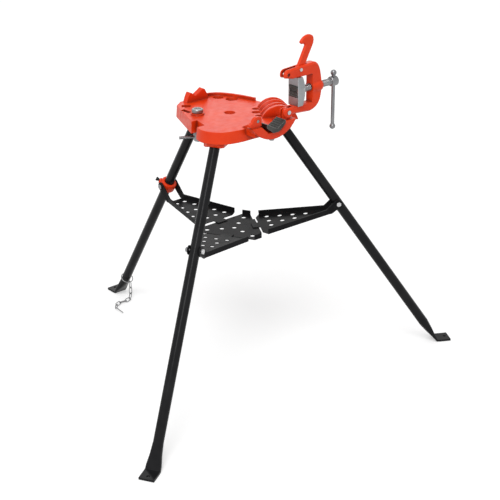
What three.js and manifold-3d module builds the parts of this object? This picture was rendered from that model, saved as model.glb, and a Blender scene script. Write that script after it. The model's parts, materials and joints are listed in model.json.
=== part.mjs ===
// Tripod pipe vise stand with a yoke vise, folding legs and a folding tool tray.
// Millimetres, +Z up, the vise at -Y, the rear leg at +Y, standing on z = 0.

import * as THREE from 'three';
import { mergeVertices } from 'three/addons/utils/BufferGeometryUtils.js';
import Module from 'manifold-3d';

const wasm = await Module();
wasm.setup();

// Clearances
const GAP = 0.4; // between pieces that touch
const RUNNING = 0.4; // radial, of a pin or screw in its hole

// Platform casting
const PLATFORM_TOP = 717;
const PLATE_THICK = 9;
const SKIRT_DEPTH = 31;
const CASTING_WALL = 8;
const SKIRT_DRAFT = 2; // the skirt leans out this far at its lower edge
const LIP_HEIGHT = 8;
const LIP_THICK = 6;

// Legs. Each stands in an upright plane through the tripod's axis.
const TRIPOD_Y = 12; // the axis lies this far behind the middle of the platform
const TUBE_D = 26.7;
const TUBE_WALL = 2.5;
const LEG_PIVOT_Z = PLATFORM_TOP - 29;
const FRONT_LEG = { pivot: 122, lean: 34.1, trayPivotZ: 452, traySlope: 6.9 };
const REAR_LEG = { pivot: 136, lean: 32.2, trayPivotZ: 440, traySlope: 0 };
const LEGS = {
  rear: { ...REAR_LEG, angle: 0 },
  left: { ...FRONT_LEG, angle: 120 },
  right: { ...FRONT_LEG, angle: -120 },
};
const LEG_TOP = 11; // tube above its pivot
const TOE_WIDTH = 40;
const TOE_LENGTH = 40;
const TOE_THICK = 6;
const TOE_HOLE_D = 9;
const PRESSED_LENGTH = 70; // where the tube flattens towards the toe
const BOSS_WIDTH = 54;
const BOSS_BOTTOM = LEG_PIVOT_Z - 14;
const BOSS_REACH = 32; // beyond the pivot
const PIVOT_BOLT_D = 10;
const BOLT_SEAT = TUBE_D / 2 + 6; // heads and nuts sink into the boss

// Vise
const VISE_Y = -138; // mid-plane of the yoke
const LUG_HALF = 48; // pins to the middle of the vise
const PIN_Z = PLATFORM_TOP + 31;
const LATCH_Z = PIN_Z - 4;
const LATCH_LUG_R = 12.5;
const LUG_THICK = 9;
const EAR_R = 15.5;
const EAR_THICK = 7;
const BED_THICK = 24;
const BED_RADIUS = 86;
const BED_BOTTOM = PLATFORM_TOP - 26;
const BED_TOP = PLATFORM_TOP + 12;
const HINGE_PIN_D = 11;
const LATCH_PIN_D = 8;

// Lower jaw, a toothed V
const JAW_HALF = 31;
const JAW_TIP_Z = BED_TOP + 6;
const JAW_V_Z = BED_TOP - 11;
const JAW_THICK = 9;
const JAW_LENGTH = 36;
const JAW_TEETH = 5;
const TOOTH_DEPTH = 1.6;
const JAW_BOLT_D = 8;

// Yoke, shown open: it lies towards +X and closes by a quarter turn
const WINDOW_HALF = 37; // half the opening that the jaw carrier slides in
const YOKE_WALL_X = LUG_HALF + 79; // inner face of the wall that carries the screw
const YOKE_WALL = 32;
const YOKE_CHAMFER = 4;
const SCREW_BOSS_X = LUG_HALF + 115;
const SCREW_BOSS_R = 15;
const SHOULDER_Z = PIN_Z + 2 * LUG_HALF + 18;
const LOWER_ARM_Z = PIN_Z - 11;
const UPPER_EAR = { x: LUG_HALF - 2, z: PIN_Z + 2 * LUG_HALF, radius: 12.5 };

// Hook
const HOOK_X = LUG_HALF + 39;
const HOOK_Z = PIN_Z + 2 * LUG_HALF + 6;
const HOOK_THICK = 9;
const HOOK_CHAMFER = 2.5;
const HOOK_EYE_R = 11;
const HOOK_PIN_D = 9;

// Screw, carrier and handle
const SCREW_D = 18;
const SCREW_NECK_D = 10.6;
const SCREW_TIP_D = 16;
const CARRIER_X = LUG_HALF + 24;
const CARRIER_DEPTH = 24;
const CARRIER_LENGTH = 36;
const UPPER_JAW_HALF = 14.5;
const UPPER_JAW_LENGTH = 30;
const UPPER_JAW_DEPTH = 12;
const RETAINING_PIN_D = 5;
const HUB_X = LUG_HALF + 163;
const HUB_R = 13;
const HUB_LENGTH = 24;
const BAR_D = 10;
const BAR_LENGTH = 142; // between the knobs' centres
const KNOB_R = 8;

// Ceiling brace
const BRACE_X = -69;
const BRACE_Y = 71;
const BRACE_BOSS_R = 18;
const BRACE_BOSS_RISE = 4;
const BRACE_BOSS_BOTTOM = PLATFORM_TOP - 27;
const BRACE_SCREW_D = 16;
const BRACE_HUB_R = 12;
const BRACE_HUB_Z = PLATFORM_TOP - 60;
const BRACE_HUB_HEIGHT = 22;
const BRACE_BAR_D = 8;
const BRACE_BAR_LENGTH = 100;
const BRACE_BAR_TURN = 151; // degrees from +X
const BRACE_CAP_R = 15;
const BRACE_CAP_HEIGHT = 11;

// Tray
const SHEET = 2;
const TRAY_Z = 401; // underside of the arms where they meet the centre
const ARM_INNER_R = 68;
const ARM_OUTER_R = 258;
const ARM_INNER_HALF = 50;
const ARM_SHOULDER_R = 80;
const ARM_SHOULDER_HALF = 68.5;
const RAIL_HEIGHT = 14;
const EAR_PLATE = 3;
const TRAY_BOLT_D = 8;
const HOLE_D = 13;
const HOLE_PITCH = 34;
const HOLE_MARGIN = 18;
const TONGUE_HALF = 16;
const TONGUE_REACH = 20;
const CENTRE_INRADIUS = 54;
const CENTRE_CORNER_R = 98;

// Collar on the rear leg
const COLLAR_R = 22;
const COLLAR_LENGTH = 28;
const COLLAR_PIN_D = 8;
const LOCK_SCREW_D = 8;
const LOCK_SCREW_LENGTH = 24;
const LOCK_SCREW_TURN = 34; // degrees round the leg from its outer side

// Bolts and nuts
const HEAD_HEIGHT = 6;
const HEAD_OVER = 1.7; // hexagon across corners, over the bolt's diameter

// Keeper chain on the rear leg
const WIRE_D = 3;
const LINK_INNER_LENGTH = 21;
const LINK_INNER_WIDTH = 7;
const LINK_SLACK = 1.4;
const CHAIN_RING_Z = 66;
const CHAIN_RING_SLACK = 3.2; // the ring hangs off the tube's middle by this
const END_RING_LENGTH = 36;
const FLOOR_LINK_Z = 6.2;
const FLOOR_LINK_HEADINGS = [225, 195, 170, 200, 235];
const END_RING_HEADING = 265;

// Worked-out values
const rad = THREE.MathUtils.degToRad;
const SKIRT_BOTTOM = PLATFORM_TOP - SKIRT_DEPTH;
const PLATE_UNDER = PLATFORM_TOP - PLATE_THICK;
const FAR_BELOW = PLATFORM_TOP - 120; // cuts right through run from here
const FAR_ABOVE = PLATFORM_TOP + 45; // to here
const SCREW_Z = PIN_Z + LUG_HALF;
const FORK_GAP = LUG_THICK + 2 * 0.5;
const YOKE_DEPTH = FORK_GAP + 2 * EAR_THICK;
const REAR_DOWN = new THREE.Vector3(0, Math.sin(rad(REAR_LEG.lean)), -Math.cos(rad(REAR_LEG.lean)));
const REAR_OUT = new THREE.Vector3(0, Math.cos(rad(REAR_LEG.lean)), Math.sin(rad(REAR_LEG.lean)));
const legRadius = (leg, z) => leg.pivot + (LEG_PIVOT_Z - z) * Math.tan(rad(leg.lean));

// Colours and finishes
const finish = (color, roughness, metalness) => () =>
  new THREE.MeshStandardMaterial({ color, roughness, metalness });
const redPaint = finish(0xe8401c, 0.35, 0.1);
const blackEnamel = finish(0x16161a, 0.3, 0.1);
const zinc = finish(0xb9bcc2, 0.3, 0.9);
const jawSteel = finish(0x4a4a46, 0.55, 0.8);
const castSteel = finish(0xc4c6c8, 0.35, 0.85);

// Solid modelling helpers

function toSolid(geometry) {
  const bare = new THREE.BufferGeometry();
  bare.setAttribute('position', geometry.getAttribute('position').clone());
  if (geometry.index) {
    bare.setIndex(geometry.index.clone());
  }
  const merged = mergeVertices(bare, 1e-4);
  return new wasm.Manifold(
    new wasm.Mesh({
      numProp: 3,
      vertProperties: new Float32Array(merged.getAttribute('position').array),
      triVerts: new Uint32Array(merged.index.array),
    }),
  );
}

function toGeometry(solid) {
  const mesh = solid.getMesh();
  const geometry = new THREE.BufferGeometry();
  geometry.setAttribute('position', new THREE.BufferAttribute(new Float32Array(mesh.vertProperties), 3));
  geometry.setIndex(new THREE.BufferAttribute(new Uint32Array(mesh.triVerts), 1));
  geometry.computeVertexNormals();
  return geometry;
}

const join = (first, ...others) => others.reduce((sum, solid) => sum.add(solid), first);
const cut = (first, ...others) => others.reduce((rest, solid) => rest.subtract(solid), first);

function piece(name, solid, material) {
  const mesh = new THREE.Mesh(toGeometry(solid), material());
  mesh.name = name;
  return mesh;
}

// A block between two opposite corners.
function block(low, high) {
  const size = high.map((value, i) => value - low[i]);
  const geometry = new THREE.BoxGeometry(...size);
  geometry.translate(...low.map((value, i) => value + size[i] / 2));
  return toSolid(geometry);
}

// A round bar between two points.
function rod(radius, from, to, sides = 16) {
  const start = new THREE.Vector3(...from);
  const along = new THREE.Vector3(...to).sub(start);
  const geometry = new THREE.CylinderGeometry(radius, radius, along.length(), sides);
  const turn = new THREE.Quaternion().setFromUnitVectors(
    new THREE.Vector3(0, 1, 0),
    along.clone().normalize(),
  );
  geometry.applyQuaternion(turn);
  geometry.translate(...start.addScaledVector(along, 0.5).toArray());
  return toSolid(geometry);
}

// A profile of [radius, height] pairs turned round an axis through a point.
function turned(profile, axis, at, sides = 20) {
  const points = profile.map(([radius, height]) => new THREE.Vector2(radius, height));
  const geometry = new THREE.LatheGeometry(points, sides);
  const turn = new THREE.Quaternion().setFromUnitVectors(
    new THREE.Vector3(0, 1, 0),
    new THREE.Vector3(...axis).normalize(),
  );
  geometry.applyQuaternion(turn);
  geometry.translate(...at);
  return toSolid(geometry);
}

// A flat outline drawn on two axes and extruded to both sides of their plane.
function plate(shape, depth, across, up, at, curveSegments = 6) {
  const geometry = new THREE.ExtrudeGeometry(shape, { depth, bevelEnabled: false, curveSegments });
  geometry.translate(0, 0, -depth / 2);
  const x = new THREE.Vector3(...across);
  const y = new THREE.Vector3(...up);
  geometry.applyMatrix4(new THREE.Matrix4().makeBasis(x, y, x.clone().cross(y)));
  geometry.translate(...at);
  return toSolid(geometry);
}

const X = [1, 0, 0];
const Y = [0, 1, 0];
const Z = [0, 0, 1];
const polygon = (points) => new THREE.Shape(points.map(([x, y]) => new THREE.Vector2(x, y)));
const uprightPlate = (shape, depth, y, segments) => plate(shape, depth, X, Z, [0, y, 0], segments);
const flatPlate = (shape, low, high) => plate(shape, high - low, X, Y, [0, 0, (low + high) / 2]);
const radialPlate = (shape, width, x = 0) => plate(shape, width, Y, Z, [x, 0, 0]);

function disc(x, y, radius) {
  const shape = new THREE.Shape();
  shape.absarc(x, y, radius, 0, 2 * Math.PI);
  return shape;
}

// The same number of points on every ring, joined by walls and closed by the end rings.
function loft(rings) {
  const count = rings[0].length;
  const positions = rings.flat().flatMap((point) => point.toArray());
  const index = [];
  for (let ring = 0; ring + 1 < rings.length; ring += 1) {
    for (let k = 0; k < count; k += 1) {
      const a = ring * count + k;
      const b = ring * count + ((k + 1) % count);
      index.push(a, b, b + count, a, b + count, a + count);
    }
  }
  const last = (rings.length - 1) * count;
  for (let k = 1; k + 1 < count; k += 1) {
    index.push(0, k + 1, k, last, last + k, last + k + 1);
  }
  const geometry = new THREE.BufferGeometry();
  geometry.setAttribute('position', new THREE.Float32BufferAttribute(positions, 3));
  geometry.setIndex(index);
  return toSolid(geometry);
}

// Moves each corner of a closed outline outwards, or inwards for a negative distance.
function offsetOutline(points, distance) {
  const sign = THREE.ShapeUtils.area(points) > 0 ? 1 : -1;
  return points.map((point, i) => {
    const before = points[(i + points.length - 1) % points.length];
    const after = points[(i + 1) % points.length];
    const inward = new THREE.Vector2().subVectors(point, before).normalize();
    const outward = new THREE.Vector2().subVectors(after, point).normalize();
    const first = new THREE.Vector2(inward.y, -inward.x);
    const second = new THREE.Vector2(outward.y, -outward.x);
    const mitre = first.clone().add(second);
    mitre.multiplyScalar((sign * distance) / Math.max(0.5, 1 + first.dot(second)));
    return point.clone().add(mitre);
  });
}

// A slab whose lower outline differs from its upper one.
function drafted(lowPoints, highPoints, lowZ, highZ) {
  const count = highPoints.length;
  const at = (points, z) => points.flatMap((point) => [point.x, point.y, z]);
  const index = [];
  for (const [a, b, c] of THREE.ShapeUtils.triangulateShape(highPoints, [])) {
    index.push(a, c, b, a + count, b + count, c + count);
  }
  for (let k = 0; k < count; k += 1) {
    const next = (k + 1) % count;
    index.push(k, next, next + count, k, next + count, k + count);
  }
  const geometry = new THREE.BufferGeometry();
  const positions = [...at(lowPoints, lowZ), ...at(highPoints, highZ)];
  geometry.setAttribute('position', new THREE.Float32BufferAttribute(positions, 3));
  geometry.setIndex(index);
  return toSolid(geometry);
}

// An upright plate with its outer edges chamfered, like those of a casting.
function castPlate(shape, depth, y, chamfer) {
  const points = shape.extractPoints(5).shape;
  if (points[0].distanceTo(points[points.length - 1]) < 0.01) {
    points.pop();
  }
  if (THREE.ShapeUtils.area(points) < 0) {
    points.reverse();
  }
  const inset = offsetOutline(points, -chamfer);
  const half = depth / 2;
  const slab = join(
    drafted(inset, points, -half, chamfer - half),
    drafted(points, points, chamfer - half, half - chamfer),
    drafted(points, inset, half - chamfer, half),
  );
  return slab.rotate([90, 0, 0]).translate([0, y, 0]);
}

// From a leg's own frame, +Y outwards and X along its pivot, to the stand's.
function atLeg(solid, leg) {
  return solid.rotate([0, 0, leg.angle]).translate([0, TRIPOD_Y, 0]);
}

function hexBolt(diameter, headAt, end, direction) {
  const axis = new THREE.Vector3(...direction);
  const head = new THREE.Vector3(...headAt);
  const top = head.clone().addScaledVector(axis, -HEAD_HEIGHT);
  const headRadius = (diameter * HEAD_OVER) / 2;
  return join(rod(headRadius, top.toArray(), headAt, 6), rod(diameter / 2, headAt, end, 12));
}

function hexNut(diameter, from, to) {
  const nut = rod((diameter * HEAD_OVER) / 2, from, to, 6);
  const start = new THREE.Vector3(...from);
  const past = new THREE.Vector3(...to).sub(start).multiplyScalar(2);
  const before = start.clone().addScaledVector(past, -0.25);
  return cut(nut, rod(diameter / 2 + GAP, before.toArray(), before.clone().add(past).toArray(), 12));
}

// Base casting

function platformOutline() {
  const shape = new THREE.Shape();
  shape.moveTo(-34, 188);
  shape.lineTo(-62, 168);
  shape.lineTo(-118, 34);
  shape.lineTo(-100, 34);
  shape.lineTo(-112, -12);
  shape.lineTo(-137, -12);
  shape.quadraticCurveTo(-151, -46, -128, -76);
  shape.quadraticCurveTo(-110, -98, -62, -102);
  shape.lineTo(62, -102);
  shape.quadraticCurveTo(102, -98, 118, -76);
  shape.quadraticCurveTo(142, -44, 130, -4);
  shape.lineTo(122, 62);
  shape.quadraticCurveTo(110, 130, 84, 164);
  shape.quadraticCurveTo(70, 182, 38, 188);
  return shape.extractPoints(5).shape;
}

const PLATFORM_LIP_FROM = 60; // the lip runs from here round to the pipe rest

// The boss that a leg hangs in, in the leg's own frame.
function legBoss(leg) {
  const outer = leg.pivot + BOSS_REACH;
  const shape = polygon([
    [leg.pivot - 34, PLATE_UNDER + 1],
    [outer - 6, PLATE_UNDER + 1],
    [outer, LEG_PIVOT_Z],
    [outer - 2, BOSS_BOTTOM + 5],
    [outer - 8, BOSS_BOTTOM],
    [leg.pivot - 12, BOSS_BOTTOM],
    [leg.pivot - 28, BOSS_BOTTOM + 8],
  ]);
  const half = BOSS_WIDTH / 2;
  const chamfer = 14;
  const sides = polygon([
    [-half, 0],
    [-half, outer - chamfer],
    [-half + chamfer, outer],
    [half - chamfer, outer],
    [half, outer - chamfer],
    [half, 0],
  ]);
  return radialPlate(shape, BOSS_WIDTH).intersect(flatPlate(sides, BOSS_BOTTOM - 1, PLATFORM_TOP));
}

// The room that a leg sweeps from spread to folded, open to below and to the inside.
function legPocket(leg) {
  const clear = TUBE_D / 2 + GAP;
  const lean = rad(leg.lean);
  const along = (distance) => [
    leg.pivot + distance * Math.sin(lean) + clear * Math.cos(lean),
    LEG_PIVOT_Z - distance * Math.cos(lean) + clear * Math.sin(lean),
  ];
  const crown = PLATE_UNDER - 1;
  const shape = polygon([
    [leg.pivot - 60, BOSS_BOTTOM - 30],
    along(90),
    along(clear * Math.tan(lean / 2)),
    [leg.pivot + clear, crown],
    [leg.pivot - 60, crown],
  ]);
  return radialPlate(shape, TUBE_D + 2 * GAP);
}

// The pivot bolt's hole, with counterbores for its head and nut.
function pivotBoltRoom(leg) {
  const at = (x) => [x, leg.pivot, LEG_PIVOT_Z];
  const end = BOSS_WIDTH / 2 + 1;
  const tool = (PIVOT_BOLT_D * HEAD_OVER) / 2 + 1.5;
  return join(
    rod(PIVOT_BOLT_D / 2 + RUNNING, at(-end), at(end), 12),
    rod(tool, at(BOLT_SEAT), at(end), 16),
    rod(tool, at(-end), at(-BOLT_SEAT), 16),
  );
}

// A grooved hood over the right leg, for bending small pipe. Grooves are [middle, width].
const HOOD_R = 50;
const HOOD_RADIUS_AT = 106; // its axis from the middle of the platform
const HOOD_AXIS_Z = PLATFORM_TOP - 20;
const HOOD_ENDS = [-40, 58];
const HOOD_TAPER = 0.06; // it narrows towards its far end
const HOOD_GROOVES = [
  [-17, 20],
  [13, 27],
  [42, 21],
];

const hoodRadius = (at) => HOOD_R - HOOD_TAPER * (at - HOOD_ENDS[0]);

function benderHood() {
  const profile = [[0, HOOD_ENDS[0]], [HOOD_R, HOOD_ENDS[0]]];
  for (const [middle, width] of HOOD_GROOVES) {
    for (const share of [-1, -0.7, 0, 0.7, 1]) {
      const at = middle + (share * width) / 2;
      const depth = 0.45 * width * Math.sqrt(1 - share * share);
      profile.push([hoodRadius(at) - depth, at]);
    }
  }
  profile.push([hoodRadius(HOOD_ENDS[1]), HOOD_ENDS[1]], [0, HOOD_ENDS[1]]);
  const hood = turned(profile, [-1, 0, 0], [0, HOOD_RADIUS_AT, HOOD_AXIS_Z], 40);
  const below = block([-90, 0, FAR_BELOW], [90, 200, PLATE_UNDER]);
  return cut(hood, below).rotate([0, 0, LEGS.right.angle]);
}

// The holes that the grooves run out into, for the end of the pipe that is bent.
function benderMouths() {
  const rise = PLATFORM_TOP - HOOD_AXIS_Z;
  return HOOD_GROOVES.map(([middle, width]) => {
    const edge = HOOD_RADIUS_AT - Math.sqrt(hoodRadius(middle) ** 2 - rise ** 2);
    const radius = 0.42 * width;
    const at = (z) => [-middle, edge - radius + 3, z];
    return rod(radius, at(FAR_BELOW), at(FAR_ABOVE), 14).rotate([0, 0, LEGS.right.angle]);
  });
}

function pipeRest() {
  const top = (x, rise) => [x, PLATFORM_TOP + rise];
  const shape = polygon([
    [-34, PLATE_UNDER],
    top(-26, 13),
    top(-19, 26),
    top(-14, 25),
    top(0, 15),
    top(16, 24),
    top(25, 30),
    top(31, 27),
    top(40, 10),
    [44, PLATE_UNDER],
  ]);
  return uprightPlate(shape, 16, 173);
}

// The trough that the lower jaw sits in, wider than the jaw so that its flanks stand free.
function jawSeat() {
  const floor = JAW_V_Z - JAW_THICK - GAP;
  const shape = polygon([
    [-JAW_HALF - 12, BED_TOP + 1],
    [-20, floor],
    [20, floor],
    [JAW_HALF + 12, BED_TOP + 1],
  ]);
  return uprightPlate(shape, JAW_LENGTH + 2, VISE_Y);
}

// Its eye is small enough for the jaw carrier to swing past it.
function hingeLug() {
  const radius = LUG_HALF - WINDOW_HALF;
  const half = LUG_THICK / 2;
  const post = block(
    [WINDOW_HALF, VISE_Y - half, BED_TOP - 12],
    [LUG_HALF + radius, VISE_Y + half, PIN_Z],
  );
  return join(post, uprightPlate(disc(LUG_HALF, PIN_Z, radius), LUG_THICK, VISE_Y));
}

// A rounded lug with a nose under which the hook catches.
function latchLug() {
  const at = (out, up) => [-LUG_HALF - out, LATCH_Z + up];
  const lug = polygon([
    [-WINDOW_HALF, BED_TOP - 12],
    [-WINDOW_HALF, LATCH_Z + 5],
    at(-7, LATCH_LUG_R - 2),
    at(0, LATCH_LUG_R),
    at(8, LATCH_LUG_R - 2),
    at(14, 6),
    at(18, -2),
    at(18, -23),
  ]);
  const nose = polygon([at(10, 2), at(27, -5), at(27, -11), at(10, -20)]);
  return join(uprightPlate(lug, LUG_THICK, VISE_Y), uprightPlate(nose, LUG_THICK, VISE_Y));
}

function viseBed() {
  const centreZ = BED_BOTTOM + BED_RADIUS;
  const half = Math.sqrt(BED_RADIUS ** 2 - (centreZ - BED_TOP) ** 2);
  const start = Math.atan2(BED_TOP - centreZ, -half);
  const shape = new THREE.Shape();
  shape.absarc(0, centreZ, BED_RADIUS, start, -Math.PI - start, false);
  const bed = uprightPlate(shape, BED_THICK, VISE_Y, 14);
  return join(bed, hingeLug(), latchLug());
}

// A rib from the platform up to a lug.
function lugRib(x) {
  const low = VISE_Y + YOKE_DEPTH / 2 + 1.5;
  const shape = polygon([
    [low, PIN_Z - 10],
    [-84, PLATFORM_TOP],
    [-84, PLATE_UNDER],
    [low, PLATE_UNDER],
  ]);
  return radialPlate(shape, LUG_THICK - 2, x);
}

function baseCasting() {
  const top = platformOutline();
  const low = offsetOutline(top, SKIRT_DRAFT);
  const shell = drafted(low, top, SKIRT_BOTTOM, PLATFORM_TOP);
  const hollowTop = offsetOutline(top, -CASTING_WALL);
  const hollowLow = offsetOutline(top, SKIRT_DRAFT - CASTING_WALL);
  const hollow = drafted(hollowLow, hollowTop, SKIRT_BOTTOM - 1, PLATE_UNDER);

  const lipEdge = top.filter((point) => point.x > 30 && point.y > PLATFORM_LIP_FROM);
  const inside = offsetOutline(top, -LIP_THICK);
  const lipInner = inside.filter((point, i) => lipEdge.includes(top[i])).reverse();
  const lipShape = new THREE.Shape([...lipEdge, ...lipInner]);
  const lip = flatPlate(lipShape, PLATE_UNDER, PLATFORM_TOP + LIP_HEIGHT);

  const neckPlate = block([-54, VISE_Y, PLATFORM_TOP - 16], [54, -96, PLATFORM_TOP]);
  const neckWeb = block([-14, VISE_Y, BED_BOTTOM + 4], [14, -96, PLATE_UNDER]);
  const legs = Object.values(LEGS);
  const bosses = legs.map((leg) => atLeg(legBoss(leg), leg));
  const braceAt = (z) => [BRACE_X, BRACE_Y, z];
  const braceTop = PLATFORM_TOP + BRACE_BOSS_RISE;
  const braceBoss = rod(BRACE_BOSS_R, braceAt(BRACE_BOSS_BOTTOM), braceAt(braceTop), 20);
  const body = join(
    cut(shell, hollow),
    lip,
    neckPlate,
    neckWeb,
    ...bosses,
    benderHood(),
    braceBoss,
    pipeRest(),
    viseBed(),
    lugRib(-LUG_HALF),
    lugRib(LUG_HALF),
  );

  const through = (x, y, radius) => rod(radius, [x, y, FAR_BELOW], [x, y, FAR_ABOVE], 16);
  const holes = [
    through(-46, 147, 13),
    through(66, 152, 14),
    through(84, 116, 17),
    through(2, 27, 14.5),
    through(BRACE_X, BRACE_Y, BRACE_SCREW_D / 2 + RUNNING),
  ];
  const slot = block([-80, 96, FAR_BELOW], [-68, 128, FAR_ABOVE]);
  const lugHole = (x, z, diameter) =>
    rod(diameter / 2 + RUNNING, [x, VISE_Y - 40, z], [x, VISE_Y + 40, z], 16);
  const jawHole = rod(JAW_BOLT_D / 2 + RUNNING, [0, VISE_Y, FAR_BELOW], [0, VISE_Y, JAW_V_Z], 12);
  return cut(
    body,
    ...holes,
    slot,
    jawSeat(),
    ...benderMouths(),
    ...legs.map((leg) => atLeg(legPocket(leg), leg)),
    ...legs.map((leg) => atLeg(pivotBoltRoom(leg), leg)),
    lugHole(LUG_HALF, PIN_Z, HINGE_PIN_D),
    lugHole(-LUG_HALF, LATCH_Z, LATCH_PIN_D),
    jawHole,
  );
}

// Vise pieces

// Points along a toothed edge between two ends, teeth standing to the left.
function toothedEdge(from, to, teeth) {
  const start = new THREE.Vector2(...from);
  const along = new THREE.Vector2(...to).sub(start);
  const left = new THREE.Vector2(-along.y, along.x).normalize();
  const points = [];
  for (let k = 0; k < 2 * teeth; k += 1) {
    const height = k % 2 === 0 ? 0 : TOOTH_DEPTH;
    const point = start.clone().addScaledVector(along, k / (2 * teeth)).addScaledVector(left, height);
    points.push(point.toArray());
  }
  return points;
}

function lowerJaw() {
  const under = JAW_V_Z - JAW_THICK;
  const shape = polygon([
    ...toothedEdge([JAW_HALF, JAW_TIP_Z], [0, JAW_V_Z], JAW_TEETH).reverse(),
    [JAW_HALF, JAW_TIP_Z - JAW_THICK],
    [9, under],
    [-9, under],
    [-JAW_HALF, JAW_TIP_Z - JAW_THICK],
    [-JAW_HALF, JAW_TIP_Z],
    ...toothedEdge([-JAW_HALF, JAW_TIP_Z], [0, JAW_V_Z], JAW_TEETH).slice(1),
  ]);
  const hole = rod(JAW_BOLT_D / 2 + RUNNING, [0, VISE_Y, FAR_BELOW], [0, VISE_Y, under + 6.5], 12);
  return cut(uprightPlate(shape, JAW_LENGTH, VISE_Y), hole);
}

function yoke() {
  const outerX = YOKE_WALL_X + YOKE_WALL;
  const outline = new THREE.Shape();
  const heel = 1.85 * Math.PI; // where the lower arm leaves the hinge ear
  outline.moveTo(LUG_HALF + EAR_R * Math.cos(heel), PIN_Z + EAR_R * Math.sin(heel));
  outline.lineTo(YOKE_WALL_X - 6, LOWER_ARM_Z);
  outline.quadraticCurveTo(outerX - 6, LOWER_ARM_Z + 4, outerX, SCREW_Z - 24);
  outline.quadraticCurveTo(outerX + 5, SCREW_Z, outerX, SCREW_Z + 26);
  outline.quadraticCurveTo(outerX - 6, SHOULDER_Z, YOKE_WALL_X + 4, SHOULDER_Z);
  outline.lineTo(UPPER_EAR.x, UPPER_EAR.z + UPPER_EAR.radius);
  outline.absarc(UPPER_EAR.x, UPPER_EAR.z, UPPER_EAR.radius, Math.PI / 2, Math.PI * 1.2, false);
  outline.lineTo(LUG_HALF + 6, SCREW_Z + WINDOW_HALF);
  outline.lineTo(LUG_HALF + 6, SCREW_Z - WINDOW_HALF);
  outline.absarc(LUG_HALF, PIN_Z, EAR_R, Math.PI * 0.8, heel, false);
  const body = castPlate(outline, YOKE_DEPTH, VISE_Y, YOKE_CHAMFER);
  const bossLength = SCREW_BOSS_X - YOKE_WALL_X;
  const boss = turned(
    [
      [0, 0],
      [SCREW_BOSS_R, 0],
      [SCREW_BOSS_R + 3, YOKE_WALL - 6],
      [SCREW_BOSS_R - 1, bossLength],
      [0, bossLength],
    ],
    X,
    [YOKE_WALL_X, VISE_Y, SCREW_Z],
  );
  const window = block(
    [0, VISE_Y - YOKE_DEPTH, SCREW_Z - WINDOW_HALF],
    [YOKE_WALL_X, VISE_Y + YOKE_DEPTH, SCREW_Z + WINDOW_HALF],
  );
  const half = FORK_GAP / 2;
  const upperFork = block([0, VISE_Y - half, SCREW_Z], [HOOK_X + 26, VISE_Y + half, SHOULDER_Z + 60]);
  const lowerFork = block(
    [0, VISE_Y - half, PIN_Z - 60],
    [LUG_HALF + EAR_R + 1.5, VISE_Y + half, SCREW_Z],
  );
  const across = (x, z, diameter) =>
    rod(diameter / 2 + RUNNING, [x, VISE_Y - 40, z], [x, VISE_Y + 40, z], 16);
  const screwHole = rod(
    SCREW_D / 2 + RUNNING,
    [YOKE_WALL_X - 27, VISE_Y, SCREW_Z],
    [SCREW_BOSS_X + 37, VISE_Y, SCREW_Z],
    20,
  );
  return cut(
    join(body, boss),
    window,
    upperFork,
    lowerFork,
    across(LUG_HALF, PIN_Z, HINGE_PIN_D),
    across(UPPER_EAR.x, UPPER_EAR.z, LATCH_PIN_D),
    across(HOOK_X, HOOK_Z, HOOK_PIN_D),
    screwHole,
  );
}

function hook() {
  const at = (x, z) => [HOOK_X + x, HOOK_Z + z];
  const shape = new THREE.Shape();
  shape.moveTo(...at(-3, 10));
  shape.lineTo(...at(21, 55));
  shape.quadraticCurveTo(...at(22, 62), ...at(9, 61));
  shape.lineTo(...at(4, 66));
  shape.quadraticCurveTo(...at(14, 81), ...at(32, 82));
  shape.quadraticCurveTo(...at(55, 80), ...at(49, 58));
  shape.lineTo(...at(22, 8));
  shape.absarc(HOOK_X, HOOK_Z, HOOK_EYE_R, 0, -Math.PI * 1.4, true);
  const hole = rod(HOOK_PIN_D / 2 + RUNNING, [HOOK_X, VISE_Y - 40, HOOK_Z], [HOOK_X, VISE_Y + 40, HOOK_Z]);
  return cut(castPlate(shape, HOOK_THICK, VISE_Y, HOOK_CHAMFER), hole);
}

function pinAcross(x, z, diameter, length) {
  return rod(diameter / 2, [x, VISE_Y - length / 2, z], [x, VISE_Y + length / 2, z], 16);
}

const NECK_FROM = CARRIER_X + UPPER_JAW_DEPTH + 5;
const NECK_TO = NECK_FROM + RETAINING_PIN_D + 1;
const RETAINING_PIN_Z = SCREW_Z + (SCREW_NECK_D + RETAINING_PIN_D) / 2 + GAP;
const RETAINING_PIN_X = (NECK_FROM + NECK_TO) / 2;
const HUB_FROM = HUB_X - HUB_LENGTH / 2;

function viseScrew() {
  const tip = SCREW_TIP_D / 2;
  const neck = SCREW_NECK_D / 2;
  const thread = SCREW_D / 2;
  const start = CARRIER_X + UPPER_JAW_DEPTH + 1.5;
  const profile = [
    [0, start],
    [tip - 1, start],
    [tip, start + 1],
    [tip, NECK_FROM],
    [neck, NECK_FROM],
    [neck, NECK_TO],
    [tip, NECK_TO],
    [tip, CARRIER_X + CARRIER_DEPTH + 2],
    [thread, CARRIER_X + CARRIER_DEPTH + 3],
    [thread, HUB_FROM],
    [HUB_R - 2, HUB_FROM],
    [HUB_R, HUB_FROM + 4],
    [HUB_R, HUB_FROM + HUB_LENGTH - 5],
    [HUB_R - 5, HUB_FROM + HUB_LENGTH],
    [0, HUB_FROM + HUB_LENGTH],
  ];
  const body = turned(profile, X, [0, VISE_Y, SCREW_Z]);
  const hole = rod(BAR_D / 2 + RUNNING, [HUB_X, VISE_Y, SCREW_Z - 40], [HUB_X, VISE_Y, SCREW_Z + 40]);
  return cut(body, hole);
}

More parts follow.
